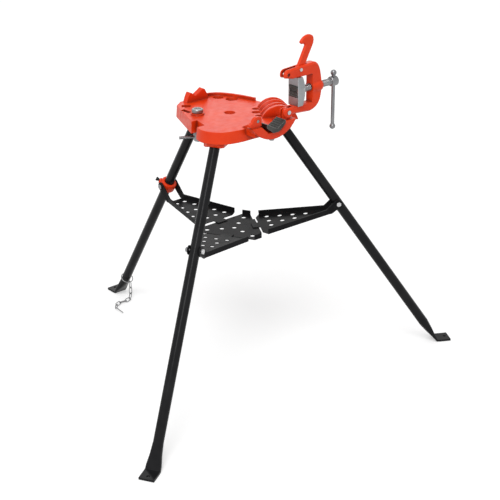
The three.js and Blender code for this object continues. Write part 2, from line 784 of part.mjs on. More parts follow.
function jawCarrier() {
  const half = WINDOW_HALF - GAP;
  const back = CARRIER_X + CARRIER_DEPTH;
  const shape = new THREE.Shape();
  shape.moveTo(CARRIER_X, SCREW_Z - half);
  shape.lineTo(back - 8, SCREW_Z - half);
  shape.quadraticCurveTo(back + 8, SCREW_Z, back - 8, SCREW_Z + half);
  shape.lineTo(CARRIER_X, SCREW_Z + half);
  const body = uprightPlate(shape, CARRIER_LENGTH, VISE_Y);
  const jawRoom = UPPER_JAW_LENGTH / 2 + GAP;
  const recess = block(
    [0, VISE_Y - jawRoom, SCREW_Z - UPPER_JAW_HALF - GAP],
    [CARRIER_X + UPPER_JAW_DEPTH - 2 + GAP, VISE_Y + jawRoom, SCREW_Z + UPPER_JAW_HALF + GAP],
  );
  const from = CARRIER_X + UPPER_JAW_DEPTH + 1;
  const bore = rod(
    SCREW_TIP_D / 2 + RUNNING,
    [from, VISE_Y, SCREW_Z],
    [back + 44, VISE_Y, SCREW_Z],
    20,
  );
  const reach = CARRIER_LENGTH;
  const pinHole = rod(
    RETAINING_PIN_D / 2 + GAP,
    [RETAINING_PIN_X, VISE_Y - reach, RETAINING_PIN_Z],
    [RETAINING_PIN_X, VISE_Y + reach, RETAINING_PIN_Z],
    12,
  );
  return cut(body, recess, bore, pinHole);
}

function upperJaw() {
  const front = CARRIER_X - 2;
  const back = front + UPPER_JAW_DEPTH;
  const vee = 5;
  const edge = toothedEdge([front, -UPPER_JAW_HALF], [front + vee, 0], 3);
  const shape = polygon([
    [back, SCREW_Z - UPPER_JAW_HALF],
    [back, SCREW_Z + UPPER_JAW_HALF],
    ...edge.map(([x, z]) => [x, SCREW_Z - z]),
    [front + vee, SCREW_Z],
    ...edge.reverse().map(([x, z]) => [x, SCREW_Z + z]),
  ]);
  return uprightPlate(shape, UPPER_JAW_LENGTH, VISE_Y);
}

const BAR_TOP = SCREW_Z + HUB_R + GAP + KNOB_R;

function handleKnob(z) {
  const steps = 8;
  const profile = [];
  for (let k = 0; k <= steps; k += 1) {
    const angle = -Math.PI / 2 + (Math.PI * k) / steps;
    profile.push([Math.max(0, KNOB_R * Math.cos(angle)), KNOB_R * Math.sin(angle)]);
  }
  const ball = turned(profile, Z, [HUB_X, VISE_Y, z], 14);
  const inward = z > SCREW_Z ? -1 : 1;
  const bottom = z - (inward * KNOB_R) / 2;
  const bore = rod(BAR_D / 2 + GAP, [HUB_X, VISE_Y, bottom], [HUB_X, VISE_Y, z + inward * 2 * KNOB_R], 12);
  return cut(ball, bore);
}

function handleBar() {
  const inset = KNOB_R / 2 - GAP;
  return rod(
    BAR_D / 2,
    [HUB_X, VISE_Y, BAR_TOP - BAR_LENGTH - inset],
    [HUB_X, VISE_Y, BAR_TOP + inset],
    12,
  );
}

// Ceiling brace

const BRACE_SEAT = PLATFORM_TOP + BRACE_BOSS_RISE + GAP;

function braceScrew() {
  const low = BRACE_HUB_Z - BRACE_HUB_HEIGHT / 2;
  const high = BRACE_HUB_Z + BRACE_HUB_HEIGHT / 2;
  const stem = BRACE_SCREW_D / 2;
  const profile = [
    [0, low],
    [BRACE_HUB_R - 2, low],
    [BRACE_HUB_R, low + 3],
    [BRACE_HUB_R, high - 3],
    [BRACE_HUB_R - 2, high],
    [stem, high],
    [stem, BRACE_SEAT - GAP],
    [stem - 3, BRACE_SEAT - GAP],
    [stem - 3, BRACE_SEAT + BRACE_CAP_HEIGHT - 4],
    [0, BRACE_SEAT + BRACE_CAP_HEIGHT - 4],
  ];
  const body = turned(profile, Z, [BRACE_X, BRACE_Y, 0], 16);
  return cut(body, braceBarShape(BRACE_BAR_D / 2 + RUNNING, 2 * BRACE_BAR_LENGTH));
}

function braceBarShape(radius, length) {
  const turn = rad(BRACE_BAR_TURN);
  const dx = (Math.cos(turn) * length) / 2;
  const dy = (Math.sin(turn) * length) / 2;
  return rod(
    radius,
    [BRACE_X - dx, BRACE_Y - dy, BRACE_HUB_Z],
    [BRACE_X + dx, BRACE_Y + dy, BRACE_HUB_Z],
    12,
  );
}

function braceCap() {
  const bore = BRACE_SCREW_D / 2 - 3 + RUNNING;
  const roof = BRACE_CAP_HEIGHT - 4 + GAP;
  const profile = [
    [bore, 0],
    [BRACE_CAP_R - 2, 0],
    [BRACE_CAP_R, 2],
    [BRACE_CAP_R, BRACE_CAP_HEIGHT - 2],
    [BRACE_CAP_R - 2, BRACE_CAP_HEIGHT],
    [BRACE_CAP_R - 5, BRACE_CAP_HEIGHT],
    [BRACE_CAP_R - 7, BRACE_CAP_HEIGHT - 2],
    [0, BRACE_CAP_HEIGHT - 2],
    [0, roof],
    [bore, roof],
    [bore, 0],
  ];
  return turned(profile, Z, [BRACE_X, BRACE_Y, BRACE_SEAT], 16);
}

// Legs, each in its own frame with +Y outwards

function legRing(centre, normal, halfWidth, halfThick, flat) {
  const points = [];
  const count = 16;
  const clamp = THREE.MathUtils.clamp;
  for (let k = 0; k < count; k += 1) {
    const angle = (-2 * Math.PI * (k + 0.5)) / count;
    const roundX = Math.cos(angle);
    const roundY = Math.sin(angle);
    const x = THREE.MathUtils.lerp(roundX, clamp(1.4 * roundX, -1, 1), flat);
    const y = THREE.MathUtils.lerp(roundY, clamp(2.6 * roundY, -1, 1), flat);
    points.push(
      centre.clone().add(new THREE.Vector3(x * halfWidth, 0, 0)).addScaledVector(normal, y * halfThick),
    );
  }
  return points;
}

function legTube(leg, trayHole) {
  const lean = rad(leg.lean);
  const downLeg = new THREE.Vector3(0, Math.sin(lean), -Math.cos(lean));
  const outOfLeg = new THREE.Vector3(0, Math.cos(lean), Math.sin(lean));
  const upright = new THREE.Vector3(0, 0, 1);
  const pivot = new THREE.Vector3(0, leg.pivot, LEG_PIVOT_Z);
  const toBend = (LEG_PIVOT_Z - TOE_THICK / 2) / Math.cos(lean);
  const radius = TUBE_D / 2;
  const down = (distance) => pivot.clone().addScaledVector(downLeg, distance);
  const tubeRing = (distance, flat, size) =>
    legRing(
      down(distance),
      outOfLeg,
      THREE.MathUtils.lerp(size, TOE_WIDTH / 2, flat),
      THREE.MathUtils.lerp(size, TOE_THICK / 2, flat),
      flat,
    );
  const bend = down(toBend);
  const bendNormal = outOfLeg.clone().add(upright).normalize();
  const toeRing = (y) =>
    legRing(new THREE.Vector3(0, y, TOE_THICK / 2), upright, TOE_WIDTH / 2, TOE_THICK / 2, 1);
  const outside = loft([
    tubeRing(-LEG_TOP, 0, radius),
    tubeRing(toBend - PRESSED_LENGTH, 0, radius),
    tubeRing(toBend - 0.55 * PRESSED_LENGTH, 0.35, radius),
    tubeRing(toBend - 0.2 * PRESSED_LENGTH, 0.9, radius),
    legRing(bend.clone().setZ(bend.z + 1), bendNormal, TOE_WIDTH / 2, TOE_THICK / 2, 1),
    toeRing(bend.y + 8),
    toeRing(bend.y + TOE_LENGTH),
  ]);
  const inside = loft([
    tubeRing(-LEG_TOP - 5, 0, radius - TUBE_WALL),
    tubeRing(toBend - PRESSED_LENGTH, 0, radius - TUBE_WALL),
    tubeRing(toBend - 0.75 * PRESSED_LENGTH, 0, radius - 3 * TUBE_WALL),
  ]);
  const cross = (diameter, z) =>
    rod(diameter / 2 + RUNNING, [-30, legRadius(leg, z), z], [30, legRadius(leg, z), z], 12);
  const toeHoleY = bend.y + 0.7 * TOE_LENGTH;
  const toeHole = rod(TOE_HOLE_D / 2, [0, toeHoleY, -TOE_THICK], [0, toeHoleY, 2 * TOE_THICK], 12);
  const bored = cut(outside, inside, toeHole, cross(PIVOT_BOLT_D, LEG_PIVOT_Z));
  return trayHole ? cut(bored, cross(TRAY_BOLT_D, leg.trayPivotZ)) : bored;
}

function pivotBolt(leg) {
  const at = (x) => [x, leg.pivot, LEG_PIVOT_Z];
  const seat = BOLT_SEAT + GAP;
  return hexBolt(PIVOT_BOLT_D, at(-seat), at(seat + HEAD_HEIGHT + 1), X);
}

function pivotNut(leg) {
  const at = (x) => [x, leg.pivot, LEG_PIVOT_Z];
  const seat = BOLT_SEAT + GAP;
  return hexNut(PIVOT_BOLT_D, at(seat), at(seat + HEAD_HEIGHT));
}

// Tray, each arm in its leg's frame

function armHalfWidth(radius, endHalf) {
  const share = (radius - ARM_SHOULDER_R) / (ARM_OUTER_R - ARM_SHOULDER_R);
  return THREE.MathUtils.lerp(ARM_SHOULDER_HALF, endHalf, Math.max(0, share));
}

// Drawn level, then tilted about its inner edge, so that its ears meet the bolt on the leg.
function trayArm(leg, earInner) {
  const slope = rad(leg.traySlope);
  const bolt = new THREE.Vector2(legRadius(leg, leg.trayPivotZ) - ARM_INNER_R, leg.trayPivotZ - TRAY_Z);
  bolt.rotateAround(new THREE.Vector2(), -slope);
  const boltR = ARM_INNER_R + bolt.x;
  const boltZ = TRAY_Z + bolt.y;
  const endHalf = earInner + EAR_PLATE;
  const sheet = polygon([
    [ARM_INNER_HALF, ARM_INNER_R],
    [ARM_SHOULDER_HALF, ARM_SHOULDER_R],
    [endHalf, ARM_OUTER_R],
    [-endHalf, ARM_OUTER_R],
    [-ARM_SHOULDER_HALF, ARM_SHOULDER_R],
    [-ARM_INNER_HALF, ARM_INNER_R],
  ]);
  const lastHole = ARM_OUTER_R - HOLE_MARGIN;
  for (let radius = ARM_SHOULDER_R + HOLE_MARGIN; radius < lastHole; radius += HOLE_PITCH) {
    const reach = armHalfWidth(radius, endHalf) - HOLE_MARGIN;
    const gaps = reach > HOLE_D ? Math.max(1, Math.round((2 * reach) / HOLE_PITCH)) : 0;
    for (let k = 0; k <= gaps; k += 1) {
      const x = gaps === 0 ? 0 : -reach + (2 * reach * k) / gaps;
      sheet.holes.push(disc(x, radius, HOLE_D / 2));
    }
  }
  const floor = plate(sheet, SHEET, X, Y, [0, 0, TRAY_Z + SHEET / 2], 4);
  const sides = [-1, 1].flatMap((side) => {
    const rail = polygon([
      [side * ARM_SHOULDER_HALF, ARM_SHOULDER_R],
      [side * endHalf, ARM_OUTER_R],
      [side * endHalf, ARM_OUTER_R + 6],
      [side * (endHalf - EAR_PLATE), ARM_OUTER_R + 6],
      [side * (endHalf - EAR_PLATE), ARM_OUTER_R - 4],
      [side * (ARM_SHOULDER_HALF - SHEET), ARM_SHOULDER_R],
    ]);
    const ear = new THREE.Shape();
    ear.moveTo(ARM_OUTER_R - 6, TRAY_Z);
    ear.lineTo(ARM_OUTER_R + 8, TRAY_Z);
    ear.lineTo(boltR + 8, boltZ - 9);
    ear.absarc(boltR, boltZ, 12, -0.85, Math.PI * 0.72, false);
    ear.lineTo(ARM_OUTER_R - 6, TRAY_Z + RAIL_HEIGHT);
    return [
      flatPlate(rail, TRAY_Z, TRAY_Z + RAIL_HEIGHT),
      radialPlate(ear, EAR_PLATE, side * (earInner + EAR_PLATE / 2)),
    ];
  });
  const hole = rod(TRAY_BOLT_D / 2 + RUNNING, [-60, boltR, boltZ], [60, boltR, boltZ], 12);
  const tilted = cut(join(floor, ...sides), hole)
    .translate([0, -ARM_INNER_R, -TRAY_Z])
    .rotate([leg.traySlope, 0, 0])
    .translate([0, ARM_INNER_R, TRAY_Z]);
  const tongue = block(
    [-TONGUE_HALF, ARM_INNER_R - TONGUE_REACH, TRAY_Z],
    [TONGUE_HALF, ARM_INNER_R + 3, TRAY_Z + SHEET],
  );
  return join(tilted, tongue);
}

function trayCentre() {
  const high = TRAY_Z - GAP;
  const corners = [];
  for (const angle of [30, 150, 270]) {
    const out = new THREE.Vector2(Math.cos(rad(angle)), Math.sin(rad(angle)));
    const across = new THREE.Vector2(-out.y, out.x);
    const half = (2 * CENTRE_INRADIUS - CENTRE_CORNER_R) * Math.tan(rad(30)) + 6;
    for (const side of [-1, 1]) {
      const point = out.clone().multiplyScalar(CENTRE_CORNER_R).addScaledVector(across, side * half);
      corners.push({ point, out });
    }
  }
  const shape = new THREE.Shape(corners.map((corner) => corner.point));
  for (const angle of [30, 150, 270]) {
    for (const radius of [34, 74]) {
      shape.holes.push(disc(radius * Math.cos(rad(angle)), radius * Math.sin(rad(angle)), HOLE_D / 2));
    }
  }
  shape.holes.push(disc(0, 0, HOLE_D / 2));
  const floor = plate(shape, SHEET, X, Y, [0, 0, high - SHEET / 2], 4);
  const flanges = [0, 2, 4].map((k) => {
    const first = corners[k].point;
    const second = corners[k + 1].point;
    const inward = corners[k].out.clone().multiplyScalar(-SHEET);
    const strip = [first, second, second.clone().add(inward), first.clone().add(inward)];
    return flatPlate(new THREE.Shape(strip), high - SHEET, high + RAIL_HEIGHT - SHEET);
  });
  return join(floor, ...flanges);
}

const SIDE_EAR = TUBE_D / 2 + 0.8;
const REAR_EAR = COLLAR_R + 0.6;

function trayBolt(leg, headSide) {
  const seat = SIDE_EAR + EAR_PLATE + GAP;
  const end = seat + HEAD_HEIGHT + 2;
  const at = (x) => [headSide * x, legRadius(leg, leg.trayPivotZ), leg.trayPivotZ];
  return hexBolt(TRAY_BOLT_D, at(seat), at(-end), [-headSide, 0, 0]);
}

function trayNut(leg, headSide) {
  const seat = SIDE_EAR + EAR_PLATE + GAP;
  const at = (x) => [-headSide * x, legRadius(leg, leg.trayPivotZ), leg.trayPivotZ];
  return hexNut(TRAY_BOLT_D, at(seat), at(seat + HEAD_HEIGHT));
}

// Rear collar

const COLLAR_Z = REAR_LEG.trayPivotZ;
const COLLAR_AT = legRadius(REAR_LEG, COLLAR_Z);

const onRearLeg = (distance) =>
  new THREE.Vector3(0, COLLAR_AT, COLLAR_Z).addScaledVector(REAR_DOWN, distance).toArray();

const LOCK_OUT = new THREE.Vector3(-Math.sin(rad(LOCK_SCREW_TURN)), 0, 0)
  .addScaledVector(REAR_OUT, Math.cos(rad(LOCK_SCREW_TURN)));
const onLock = (out) =>
  new THREE.Vector3(0, COLLAR_AT, COLLAR_Z).addScaledVector(LOCK_OUT, out).toArray();

function rearCollar() {
  const half = COLLAR_LENGTH / 2;
  const profile = [
    [0, -half],
    [COLLAR_R - 3, -half],
    [COLLAR_R, -half + 4],
    [COLLAR_R, half - 4],
    [COLLAR_R - 3, half],
    [0, half],
  ];
  const ring = turned(profile, REAR_DOWN.toArray(), onRearLeg(0), 20);
  const boss = rod(8, onLock(0), onLock(COLLAR_R + 5), 12);
  const lockHole = rod(LOCK_SCREW_D / 2 + GAP, onLock(0), onLock(COLLAR_R + 20), 12);
  const pinHole = rod(COLLAR_PIN_D / 2 + GAP, [-60, COLLAR_AT, COLLAR_Z], [60, COLLAR_AT, COLLAR_Z], 12);
  const bore = rod(TUBE_D / 2 + GAP, onRearLeg(-half - 5), onRearLeg(half + 5), 20);
  return cut(join(ring, boss), lockHole, pinHole, bore);
}

function collarPin(side) {
  const inner = TUBE_D / 2 + 2 * GAP;
  const seat = REAR_EAR + EAR_PLATE + GAP;
  const at = (x) => [side * x, COLLAR_AT, COLLAR_Z];
  const radius = COLLAR_PIN_D / 2;
  return join(rod(radius, at(inner), at(seat), 12), rod(radius + 3, at(seat), at(seat + 4), 12));
}

function lockScrew() {
  const from = TUBE_D / 2 + GAP;
  const to = from + LOCK_SCREW_LENGTH;
  return join(
    rod(LOCK_SCREW_D / 2, onLock(from), onLock(to), 12),
    rod(LOCK_SCREW_D / 2 + 1.5, onLock(to - 6), onLock(to), 12),
  );
}

// Keeper chain, in the rear leg's frame

const WIRE_R = WIRE_D / 2;
const LINK_PITCH = LINK_INNER_LENGTH - LINK_SLACK;
const RING_R = TUBE_D / 2 + WIRE_R + GAP + CHAIN_RING_SLACK;
const RING_CENTRE = new THREE.Vector3(0, legRadius(REAR_LEG, CHAIN_RING_Z), CHAIN_RING_Z)
  .addScaledVector(REAR_OUT, -CHAIN_RING_SLACK);

// A wire loop, drawn out lengthways along X from a ring.
function wireLoop(innerLength, innerWidth, across, along) {
  const radius = innerWidth / 2 + WIRE_R;
  const stretch = (innerLength - innerWidth) / 2;
  const geometry = new THREE.TorusGeometry(radius, WIRE_R, across, along);
  const position = geometry.getAttribute('position');
  for (let i = 0; i < position.count; i += 1) {
    const x = position.getX(i);
    position.setX(i, x + Math.sign(Math.round(x * 1000)) * stretch);
  }
  return geometry;
}

function placedLoop(geometry, centre, along, side) {
  const x = along.clone().normalize();
  const y = side.clone().addScaledVector(x, -side.dot(x)).normalize();
  geometry.applyMatrix4(new THREE.Matrix4().makeBasis(x, y, x.clone().cross(y)));
  geometry.translate(...centre.toArray());
  return toSolid(geometry);
}

// The points where the chain's links meet: two links hang, the rest lie on the floor.
function chainJoints() {
  const joints = [RING_CENTRE.clone().addScaledVector(REAR_OUT, -RING_R)];
  joints[0].z += WIRE_R + GAP;
  for (const pitch of [LINK_INNER_LENGTH, LINK_PITCH]) {
    joints.push(joints[joints.length - 1].clone().add(new THREE.Vector3(0, 0, -pitch)));
  }
  for (const heading of FLOOR_LINK_HEADINGS) {
    const last = joints[joints.length - 1];
    const drop = last.z - FLOOR_LINK_Z;
    const reach = Math.sqrt(LINK_PITCH ** 2 - drop ** 2);
    const step = new THREE.Vector3(Math.cos(rad(heading)) * reach, Math.sin(rad(heading)) * reach, -drop);
    joints.push(last.clone().add(step));
  }
  return joints;
}

function chainPieces() {
  const joints = chainJoints();
  const ring = new THREE.TorusGeometry(RING_R, WIRE_R, 6, 20);
  const sideways = new THREE.Vector3(1, 0, 0);
  const pieces = [piece('chain_leg_ring', placedLoop(ring, RING_CENTRE, sideways, REAR_OUT), zinc)];
  const upright = new THREE.Vector3(0, 0, 1);
  for (let k = 0; k + 1 < joints.length; k += 1) {
    const along = joints[k + 1].clone().sub(joints[k]);
    const middle = joints[k].clone().addScaledVector(along, 0.5);
    const level = upright.clone().cross(along).normalize();
    const rolled = level.addScaledVector(upright, k % 2 === 0 ? 1 : -1);
    const hanging = k % 2 === 0 ? new THREE.Vector3(0, 1, 0) : new THREE.Vector3(1, 0, 0);
    const loop = wireLoop(LINK_INNER_LENGTH, LINK_INNER_WIDTH, 6, 10);
    const side = k < 2 ? hanging : rolled;
    pieces.push(piece(`chain_link_${k + 1}`, placedLoop(loop, middle, along, side), zinc));
  }
  const last = joints[joints.length - 1];
  const turn = rad(END_RING_HEADING);
  const along = new THREE.Vector3(Math.cos(turn), Math.sin(turn), 0);
  const middle = last.clone().addScaledVector(along, (END_RING_LENGTH - LINK_SLACK) / 2);
  const level = upright.clone().cross(along);
  const rolled = level.addScaledVector(upright, joints.length % 2 === 0 ? -1 : 1);
  const endRing = wireLoop(END_RING_LENGTH, LINK_INNER_WIDTH + 2, 6, 12);
  pieces.push(piece('chain_end_ring', placedLoop(endRing, middle, along, rolled), zinc));
  return pieces;
}

// Assembly

const stand = new THREE.Group();
const tripod = new THREE.Group();
stand.add(tripod);

tripod.add(
  piece('base_casting', baseCasting(), redPaint),
  piece('lower_jaw', lowerJaw(), jawSteel),
  piece(
    'lower_jaw_bolt',
    hexBolt(JAW_BOLT_D, [0, VISE_Y, BED_BOTTOM - GAP], [0, VISE_Y, JAW_V_Z - JAW_THICK + 6], Z),
    zinc,
  ),
  piece('yoke_hinge_pin', pinAcross(LUG_HALF, PIN_Z, HINGE_PIN_D, YOKE_DEPTH + 2), zinc),
  piece('latch_lug_pin', pinAcross(-LUG_HALF, LATCH_Z, LATCH_PIN_D, LUG_THICK), zinc),
  piece('yoke', yoke(), redPaint),
  piece('hook', hook(), redPaint),
  piece('hook_pin', pinAcross(HOOK_X, HOOK_Z, HOOK_PIN_D, YOKE_DEPTH + 2), zinc),
  piece('vise_screw', viseScrew(), zinc),
  piece('jaw_carrier', jawCarrier(), castSteel),
  piece('upper_jaw', upperJaw(), jawSteel),
  piece(
    'jaw_retaining_pin',
    pinAcross(RETAINING_PIN_X, RETAINING_PIN_Z, RETAINING_PIN_D, CARRIER_LENGTH),
    zinc,
  ),
  piece('handle_bar', handleBar(), zinc),
  piece('handle_knob_upper', handleKnob(BAR_TOP), zinc),
  piece('handle_knob_lower', handleKnob(BAR_TOP - BAR_LENGTH), zinc),
  piece('brace_screw', braceScrew(), zinc),
  piece('brace_handle', braceBarShape(BRACE_BAR_D / 2, BRACE_BAR_LENGTH), zinc),
  piece('brace_cap', braceCap(), zinc),
  piece('tray_centre', trayCentre().translate([0, TRIPOD_Y, 0]), blackEnamel),
);

const headSides = { left: -1, right: 1 };
for (const [side, leg] of Object.entries(LEGS)) {
  const group = new THREE.Group();
  group.rotation.z = rad(leg.angle);
  group.position.y = TRIPOD_Y;
  tripod.add(group);
  const rear = side === 'rear';
  group.add(
    piece(`leg_${side}`, legTube(leg, !rear), blackEnamel),
    piece(`leg_pivot_bolt_${side}`, pivotBolt(leg), zinc),
    piece(`leg_pivot_nut_${side}`, pivotNut(leg), zinc),
    piece(`tray_arm_${side}`, trayArm(leg, rear ? REAR_EAR : SIDE_EAR), blackEnamel),
  );
  if (rear) {
    group.add(
      piece('leg_collar', rearCollar(), redPaint),
      piece('collar_pin_left', collarPin(-1), zinc),
      piece('collar_pin_right', collarPin(1), zinc),
      piece('collar_lock_screw', lockScrew(), blackEnamel),
      ...chainPieces(),
    );
  } else {
    group.add(
      piece(`tray_bolt_${side}`, trayBolt(leg, headSides[side]), zinc),
      piece(`tray_nut_${side}`, trayNut(leg, headSides[side]), zinc),
    );
  }
}

const box = new THREE.Box3().setFromObject(stand);
tripod.position.y = -(box.min.y + box.max.y) / 2;

export default stand;
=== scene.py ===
import json
import math

import bpy
from mathutils import Matrix, Vector


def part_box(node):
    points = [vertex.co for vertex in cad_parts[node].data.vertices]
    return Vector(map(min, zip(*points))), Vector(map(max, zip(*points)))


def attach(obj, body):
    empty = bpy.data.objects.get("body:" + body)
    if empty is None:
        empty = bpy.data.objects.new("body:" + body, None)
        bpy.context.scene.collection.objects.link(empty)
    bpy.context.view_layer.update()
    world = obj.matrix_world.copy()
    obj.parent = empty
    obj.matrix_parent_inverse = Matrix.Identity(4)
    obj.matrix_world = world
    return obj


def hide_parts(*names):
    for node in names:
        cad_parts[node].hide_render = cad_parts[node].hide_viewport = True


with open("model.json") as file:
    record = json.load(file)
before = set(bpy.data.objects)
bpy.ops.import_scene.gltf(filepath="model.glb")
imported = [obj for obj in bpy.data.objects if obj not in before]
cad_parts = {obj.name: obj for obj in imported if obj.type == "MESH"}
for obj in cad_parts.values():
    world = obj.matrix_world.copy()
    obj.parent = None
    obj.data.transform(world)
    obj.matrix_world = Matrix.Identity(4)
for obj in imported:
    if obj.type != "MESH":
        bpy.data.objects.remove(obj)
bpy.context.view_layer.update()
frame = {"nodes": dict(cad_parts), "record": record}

MM = 0.001

# The photograph's view: the line of sight, the point it is aimed at, and a slight roll.
LOOK = Vector((0.5837, 0.6981, -0.4147)).normalized()
AIM = Vector((0.0, -0.1506, 0.314))
CAMERA_DISTANCE = 3.196
CAMERA_ROLL = 0.012
LENS_MM = 85.1
SENSOR_MM = 36
SHIFT = (0.0248, 0.0163)

# The studio. World and floor look white, and light the object at a plain level.
WHITE = (1, 1, 1)
FLOOR_SIZE = 12.0
FLOOR_COLOUR = (0.62, 0.62, 0.62)
FLOOR_ROUGHNESS = 0.8
FLOOR_GLOW = 0.46
WORLD_LIGHT = 0.55
AREA_LIGHTS = {
    "key": {"place": (-1.8, -1.7, 2.2), "aim": (0, 0, 0.6), "size": 0.9, "power": 15},
    "sheen": {"place": (1.9, 2.3, 2.1), "aim": (0, -0.1, 0.7), "size": 2.0, "power": 10},
}
SUN_DIRECTION = (0.42, 0.30, -0.86)
SUN_SPREAD = math.radians(30)
SUN_STRENGTH = 1.2

# Noise in every finish: its usual range, and the scale and detail of what it drives.
NOISE_RANGE = (0.3, 0.7)
PATCH_SCALE, PATCH_DETAIL = 22.0, 4.0
GLOSS_SCALE, GLOSS_DETAIL = 60.0, 5.0
GRAIN_DETAIL = 3.0
GRAIN_DEPTH = 0.4 * MM
EVEN = (1, 1, 1)

# Rubbed edges: how wide they are, and how far the normal turns from a flat face to a sharp edge.
RUB_RADIUS = 1.2 * MM
RUB_FLAT, RUB_SHARP = 1.0, 0.8

# Painted shade in recesses: how far it reaches, and the open share where it starts and ends.
PAINTED_SHADE_REACH = 40 * MM
PAINTED_SHADE_OPEN, PAINTED_SHADE_DEEP = 0.80, 0.30

SHADER_SAMPLES = 8
PLAIN_SPECULAR = 0.5

BLACK = {
    "colours": ((0.010, 0.010, 0.011), (0.017, 0.017, 0.018)),
    "edge_colour": (0.035, 0.035, 0.037),
    "metallic": 0.0,
    "grain": 300.0,
    "softness": 0.8 * MM,
}
PLATED = {
    "metallic": 1.0,
    "roughness": (0.22, 0.38),
    "grain": 500.0,
    "bump": 0.10,
    "softness": 0.8 * MM,
}
LOOKS = {
    "red_paint": {
        "colours": ((0.76, 0.038, 0.004), (0.84, 0.054, 0.006)),
        "edge_colour": (0.88, 0.080, 0.016),
        "metallic": 0.0,
        "roughness": (0.30, 0.46),
        "grain": 420.0,
        "bump": 0.25,
        "softness": 3.0 * MM,
        # painted shade in recesses, as a share of the first colour
        "painted_recess_shade": 0.16,
        "specular": 0.25,
    },
    "black_enamel": {**BLACK, "roughness": (0.11, 0.19), "bump": 0.04, "specular": 0.09},
    "black_sheet": {**BLACK, "roughness": (0.18, 0.30), "bump": 0.10, "specular": 0.025},
    "zinc": {
        **PLATED,
        "colours": ((0.19, 0.19, 0.20), (0.29, 0.29, 0.29)),
        "edge_colour": (0.60, 0.60, 0.60),
    },
    "bright_zinc": {
        **PLATED,
        "colours": ((0.46, 0.46, 0.47), (0.60, 0.60, 0.60)),
        "edge_colour": (0.70, 0.70, 0.70),
    },
    "jaw_steel": {
        "colours": ((0.055, 0.055, 0.052), (0.09, 0.09, 0.086)),
        "edge_colour": (0.30, 0.30, 0.29),
        "metallic": 1.0,
        "roughness": (0.38, 0.55),
        "grain": 260.0,
        "bump": 0.20,
        "softness": 0.4 * MM,
        "stretch": (1, 0.15, 1),
    },
    "cast_steel": {
        "colours": ((0.25, 0.26, 0.27), (0.38, 0.39, 0.40)),
        "edge_colour": (0.64, 0.64, 0.65),
        "metallic": 1.0,
        "roughness": (0.28, 0.42),
        "grain": 380.0,
        "bump": 0.25,
        "softness": 2.0 * MM,
    },
}

# Nodes that look a little different from the rest of their material slot
OWN_LOOKS = {
    "tray_arm_rear": "black_sheet",
    "tray_arm_left": "black_sheet",
    "tray_arm_right": "black_sheet",
    "tray_centre": "black_sheet",
    "yoke_hinge_pin": "bright_zinc",
    "hook_pin": "bright_zinc",
    "tray_bolt_left": "bright_zinc",
    "tray_bolt_right": "bright_zinc",
}

# Rounded edges of the solids, by material slot
EDGE_RADII = {
    "red_paint": 2.0 * MM,
    "black_enamel": 0.0,
    "zinc": 0.4 * MM,
    "jaw_steel": 0.3 * MM,
    "cast_steel": 1.0 * MM,
}
EDGE_SEGMENTS = 2
SMOOTH_ANGLE = math.radians(38)
FLAT_ANGLE = math.radians(0.5)
WELD_DISTANCE = 0.01 * MM
CHAIN_LEVELS = 2

# The two threaded screws. Hub ends are given as (distance from the end, step in from the radius).
VISE_SCREW = {
    "radius": 9 * MM,
    "pitch": 5 * MM,
    "depth": 1.5 * MM,
    "runout": 5 * MM,
    "tip": 8 * MM,
    "tip_length": 13 * MM,
    "tip_chamfer": 1 * MM,
}
VISE_HUB = {
    "radius": 13 * MM,
    "length": 24 * MM,
    "inner_end": ((0.0, 2 * MM), (1.2 * MM, 0.7 * MM), (4 * MM, 0.0)),
    "outer_end": ((5 * MM, 0.0), (2.5 * MM, 2 * MM), (0.0, 5 * MM)),
}
BRACE_SCREW = {
    "radius": 8 * MM,
    "pitch": 4 * MM,
    "depth": 1.2 * MM,
    "spigot": 5 * MM,
    "spigot_length": 7.4 * MM,
}
BRACE_HUB = {
    "radius": 12 * MM,
    "length": 22 * MM,
    "lower_end": ((0.0, 2 * MM), (3 * MM, 0.0)),
    "upper_end": ((3 * MM, 0.0), (0.0, 2 * MM)),
}
THREAD_GAP = 1 * MM
THREAD_STEPS = 10
THREAD_CREST, THREAD_FLANK = 0.3, 0.35
TURNED_SIDES = 40

# Lips under the tray's fold lines: heading in degrees and reach from the tray's axis.
LIPS = {"rear": (90, 60 * MM), "left": (210, 65 * MM), "right": (330, 65 * MM)}
LIP_FROM = 50 * MM
LIP_HALF = 48 * MM
LIP_DROP = 0.5 * MM
TRAY_CORNER_REACH = 98 * MM
TRAY_SHEET = 2 * MM


# Materials

def link(tree, source, target):
    tree.links.new(source, target)


def between(tree, value, low, high, span=(0.0, 1.0)):
    """Map a value from its span to the range from low to high."""
    node = tree.nodes.new("ShaderNodeMapRange")
    node.inputs["From Min"].default_value, node.inputs["From Max"].default_value = span
    node.inputs["To Min"].default_value = low
    node.inputs["To Max"].default_value = high
    link(tree, value, node.inputs["Value"])
    return node.outputs["Result"]


def noise(tree, coordinate, scale, detail, stretch=EVEN):
    mapping = tree.nodes.new("ShaderNodeMapping")
    mapping.inputs["Scale"].default_value = stretch
    link(tree, coordinate, mapping.inputs["Vector"])
    texture = tree.nodes.new("ShaderNodeTexNoise")
    texture.inputs["Scale"].default_value = scale
    texture.inputs["Detail"].default_value = detail
    link(tree, mapping.outputs["Vector"], texture.inputs["Vector"])
    return texture.outputs["Fac"]


def ramp(tree, factor, colours):
    node = tree.nodes.new("ShaderNodeValToRGB")
    for element, position, colour in zip(node.color_ramp.elements, NOISE_RANGE, colours):
        element.position = position
        element.color = (*colour, 1)
    link(tree, factor, node.inputs["Fac"])
    return node.outputs["Color"]


def blend(tree, factor, source, colour):
    """The source's colour where the factor is 0, and the given one where it is 1."""
    node = tree.nodes.new("ShaderNodeMix")
    node.data_type = "RGBA"
    node.inputs["B"].default_value = (*colour, 1)
    link(tree, factor, node.inputs["Factor"])
    link(tree, source, node.inputs["A"])
    return node.outputs["Result"]


